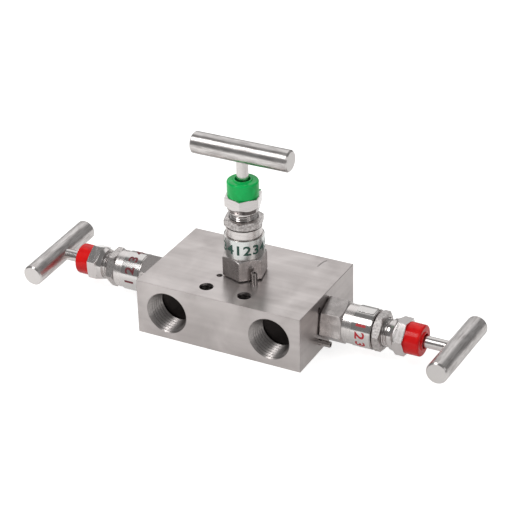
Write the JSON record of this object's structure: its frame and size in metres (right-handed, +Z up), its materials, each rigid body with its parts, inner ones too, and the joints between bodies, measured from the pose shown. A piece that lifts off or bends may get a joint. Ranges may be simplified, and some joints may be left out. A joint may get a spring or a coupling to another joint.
{
  "type": "instrument valve manifold",
  "caption": "Steel block manifold with isolating needle valves on its ends and an equalising valve on top, each worked by a tee bar.",
  "frame": {"origin": "centre of the block's flat underside", "axes": "+X along the block to the right isolating valve, +Y from the process ports to the instrument ports, +Z up to the equalising valve"},
  "size_m": [0.224, 0.058, 0.0964],
  "materials": {
    "block_steel": "satin, fine ground stainless steel bar",
    "bonnet_steel": "bright turned stainless steel",
    "bar_steel": "smooth drawn bar, turned ends",
    "spindle_steel": "fine turned and rolled stainless steel",
    "pin_steel": "bright rolled spring steel",
    "screw_steel": "plain stainless steel",
    "graphite": "dull pressed graphite",
    "ptfe": "white, waxy",
    "band": "thin polished steel sleeve, printed plain numbers",
    "red_cap": "moulded, semi-gloss",
    "green_cap": "moulded, semi-gloss"
  },
  "bodies": {
    "manifold_body": {"valve_block": "block_steel", "isolate_left_bonnet": "bonnet_steel", "isolate_left_bonnet_seal": "graphite", "isolate_left_locking_pin": "pin_steel", "isolate_left_id_band": "band", "isolate_left_gland_packing": "ptfe", "isolate_left_thrust_bush": "bonnet_steel", "isolate_left_gland_adjuster": "bonnet_steel", "isolate_left_lock_nut": "bonnet_steel", "isolate_left_dust_cap": "red_cap", "isolate_right_bonnet": "bonnet_steel", "isolate_right_bonnet_seal": "graphite", "isolate_right_locking_pin": "pin_steel", "isolate_right_id_band": "band", "isolate_right_gland_packing": "ptfe", "isolate_right_thrust_bush": "bonnet_steel", "isolate_right_gland_adjuster": "bonnet_steel", "isolate_right_lock_nut": "bonnet_steel", "isolate_right_dust_cap": "red_cap", "equalise_bonnet": "bonnet_steel", "equalise_bonnet_seal": "graphite", "equalise_locking_pin": "pin_steel", "equalise_id_band": "band", "equalise_gland_packing": "ptfe", "equalise_thrust_bush": "bonnet_steel", "equalise_gland_adjuster": "bonnet_steel", "equalise_lock_nut": "bonnet_steel", "equalise_dust_cap": "green_cap"},
    "isolate_left_tip_body": {"isolate_left_spindle_tip": "spindle_steel"},
    "isolate_left_spindle_body": {"isolate_left_spindle": "spindle_steel", "isolate_left_tee_bar": "bar_steel", "isolate_left_bar_screw": "screw_steel"},
    "isolate_right_tip_body": {"isolate_right_spindle_tip": "spindle_steel"},
    "isolate_right_spindle_body": {"isolate_right_spindle": "spindle_steel", "isolate_right_tee_bar": "bar_steel", "isolate_right_bar_screw": "screw_steel"},
    "equalise_tip_body": {"equalise_spindle_tip": "spindle_steel"},
    "equalise_spindle_body": {"equalise_spindle": "spindle_steel", "equalise_tee_bar": "bar_steel", "equalise_bar_screw": "screw_steel"}
  },
  "joints": [
    {"name": "isolate_left_travel", "type": "slide", "parent": "manifold_body", "child": "isolate_left_tip_body", "axis": [-1, 0, 0], "range_m": [-0.0006, 0.0034]},
    {"name": "isolate_left_turn", "type": "hinge", "parent": "isolate_left_tip_body", "child": "isolate_left_spindle_body", "pos_m": [-0.043, 0, 0.014], "axis": [-1, 0, 0], "range_deg": [-216, 1224]},
    {"name": "isolate_right_travel", "type": "slide", "parent": "manifold_body", "child": "isolate_right_tip_body", "axis": [1, 0, 0], "range_m": [-0.0031, 0.0009]},
    {"name": "isolate_right_turn", "type": "hinge", "parent": "isolate_right_tip_body", "child": "isolate_right_spindle_body", "pos_m": [0.043, 0, 0.014], "axis": [1, 0, 0], "range_deg": [-1116, 324]},
    {"name": "equalise_travel", "type": "slide", "parent": "manifold_body", "child": "equalise_tip_body", "axis": [0, 0, 1], "range_m": [-0.0013, 0.0027]},
    {"name": "equalise_turn", "type": "hinge", "parent": "equalise_tip_body", "child": "equalise_spindle_body", "pos_m": [0, 0, 0.028], "axis": [0, 0, 1], "range_deg": [-468, 972]}
  ],
  "couplings": [
    {"joint": "isolate_left_travel", "follows": "isolate_left_turn", "m_per_rad": 0.00015915},
    {"joint": "isolate_right_travel", "follows": "isolate_right_turn", "m_per_rad": 0.00015915},
    {"joint": "equalise_travel", "follows": "equalise_turn", "m_per_rad": 0.00015915}
  ]
}
